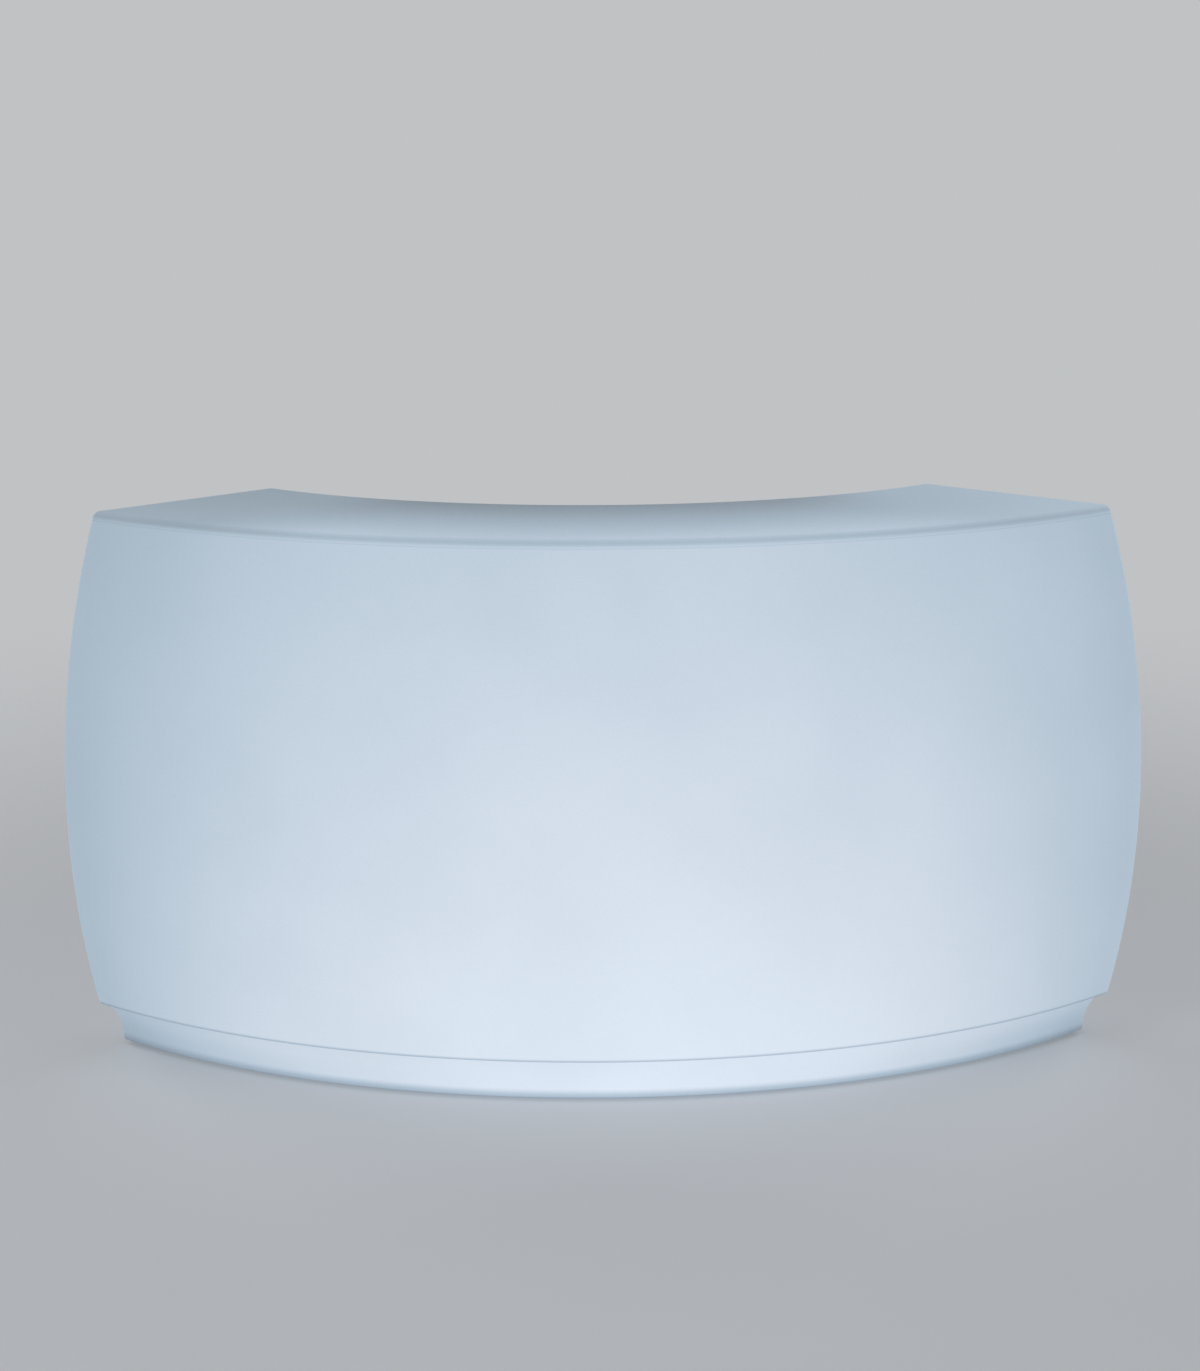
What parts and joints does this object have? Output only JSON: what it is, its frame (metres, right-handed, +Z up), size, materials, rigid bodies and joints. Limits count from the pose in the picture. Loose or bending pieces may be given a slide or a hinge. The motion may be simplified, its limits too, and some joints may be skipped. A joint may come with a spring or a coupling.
{
  "type": "illuminated bar counter",
  "caption": "Curved bar counter, a quarter of a ring with a bowed front, coved plinth and shelved rear niche; its hollow translucent body is lit from inside.",
  "frame": {"origin": "on the floor under the middle of the bounding box", "axes": "+X along the counter to the right as a guest sees it, +Y towards the bartender, +Z up; guests stand on the -Y side"},
  "size_m": [2.1436, 0.8379, 1.1],
  "materials": {
    "lit_shell": "translucent, satin, lit from inside",
    "white_laminate": "satin compact laminate",
    "white_plastic": "satin",
    "opal_cover": "opal, lit",
    "led_chip": "lit",
    "stainless_steel": "brushed",
    "panel_aluminium": "anodised",
    "cast_aluminium": "die-cast, matt",
    "brass": "plain",
    "black_rubber": "matt",
    "black_plastic": "fine texture",
    "cable_jacket": "satin"
  },
  "bodies": {
    "counter": {"body_shell": "lit_shell", "cable_clips": "black_plastic", "driver_case": "cast_aluminium", "driver_glands": "black_plastic", "floor_inserts": "brass", "floor_screws": "stainless_steel", "foot_inserts": "brass", "hatch_cover": "white_plastic", "hatch_gasket": "black_rubber", "hatch_inserts": "brass", "hatch_screws": "stainless_steel", "inlet_cap_pin": "stainless_steel", "inlet_contacts": "brass", "inlet_housing": "black_plastic", "inlet_nut": "black_plastic", "lamp_board_centre": "white_plastic", "lamp_board_left": "white_plastic", "lamp_board_right": "white_plastic", "lamp_brackets": "stainless_steel", "lamp_cable_centre": "cable_jacket", "lamp_cable_left": "cable_jacket", "lamp_cable_right": "cable_jacket", "lamp_channel_centre": "panel_aluminium", "lamp_channel_left": "panel_aluminium", "lamp_channel_right": "panel_aluminium", "lamp_diffuser_centre": "opal_cover", "lamp_diffuser_left": "opal_cover", "lamp_diffuser_right": "opal_cover", "lamp_end_caps": "white_plastic", "lamp_leds": "led_chip", "mains_cable": "cable_jacket", "power_panel": "panel_aluminium", "power_panel_gasket": "black_rubber", "power_panel_screws": "stainless_steel", "shelf_rail_inserts": "brass", "shelf_rail_lower_left": "stainless_steel", "shelf_rail_lower_right": "stainless_steel", "shelf_rail_screws": "stainless_steel", "shelf_rail_upper_left": "stainless_steel", "shelf_rail_upper_right": "stainless_steel", "switch_housing": "black_plastic", "switch_link": "cable_jacket", "vent_plug": "black_rubber"},
    "shelf_lower": {"shelf_lower": "white_laminate"},
    "shelf_upper": {"shelf_upper": "white_laminate"},
    "foot_front_left": {"foot_pad_front_left": "black_rubber", "foot_stud_front_left": "stainless_steel"},
    "foot_front_mid_left": {"foot_pad_front_mid_left": "black_rubber", "foot_stud_front_mid_left": "stainless_steel"},
    "foot_front_mid_right": {"foot_pad_front_mid_right": "black_rubber", "foot_stud_front_mid_right": "stainless_steel"},
    "foot_front_right": {"foot_pad_front_right": "black_rubber", "foot_stud_front_right": "stainless_steel"},
    "foot_rear_left": {"foot_pad_rear_left": "black_rubber", "foot_stud_rear_left": "stainless_steel"},
    "foot_rear_right": {"foot_pad_rear_right": "black_rubber", "foot_stud_rear_right": "stainless_steel"},
    "switch_rocker": {"switch_rocker": "black_plastic"},
    "inlet_cap": {"inlet_cap": "black_plastic"}
  },
  "joints": [
    {"name": "shelf_lower_slide", "type": "slide", "parent": "counter", "child": "shelf_lower", "axis": [0, 1, 0], "range_m": [0, 0.43]},
    {"name": "shelf_upper_slide", "type": "slide", "parent": "counter", "child": "shelf_upper", "axis": [0, 1, 0], "range_m": [0, 0.43]},
    {"name": "foot_front_left_level", "type": "slide", "parent": "counter", "child": "foot_front_left", "axis": [0, 0, 1], "range_m": [-0.012, 0]},
    {"name": "foot_front_mid_left_level", "type": "slide", "parent": "counter", "child": "foot_front_mid_left", "axis": [0, 0, 1], "range_m": [-0.012, 0]},
    {"name": "foot_front_mid_right_level", "type": "slide", "parent": "counter", "child": "foot_front_mid_right", "axis": [0, 0, 1], "range_m": [-0.012, 0]},
    {"name": "foot_front_right_level", "type": "slide", "parent": "counter", "child": "foot_front_right", "axis": [0, 0, 1], "range_m": [-0.012, 0]},
    {"name": "foot_rear_left_level", "type": "slide", "parent": "counter", "child": "foot_rear_left", "axis": [0, 0, 1], "range_m": [-0.012, 0]},
    {"name": "foot_rear_right_level", "type": "slide", "parent": "counter", "child": "foot_rear_right", "axis": [0, 0, 1], "range_m": [-0.012, 0]},
    {"name": "switch_rock", "type": "hinge", "parent": "counter", "child": "switch_rocker", "pos_m": [0.032, 0.13098, 0.057], "axis": [1, 0, 0], "range_deg": [0, 12]},
    {"name": "inlet_cap_hinge", "type": "hinge", "parent": "counter", "child": "inlet_cap", "pos_m": [-0.03, 0.13678, 0.0779], "axis": [1, 0, 0], "range_deg": [0, 115], "stiffness_Nm_per_rad": 0.02, "springref_deg": -14.32}
  ]
}
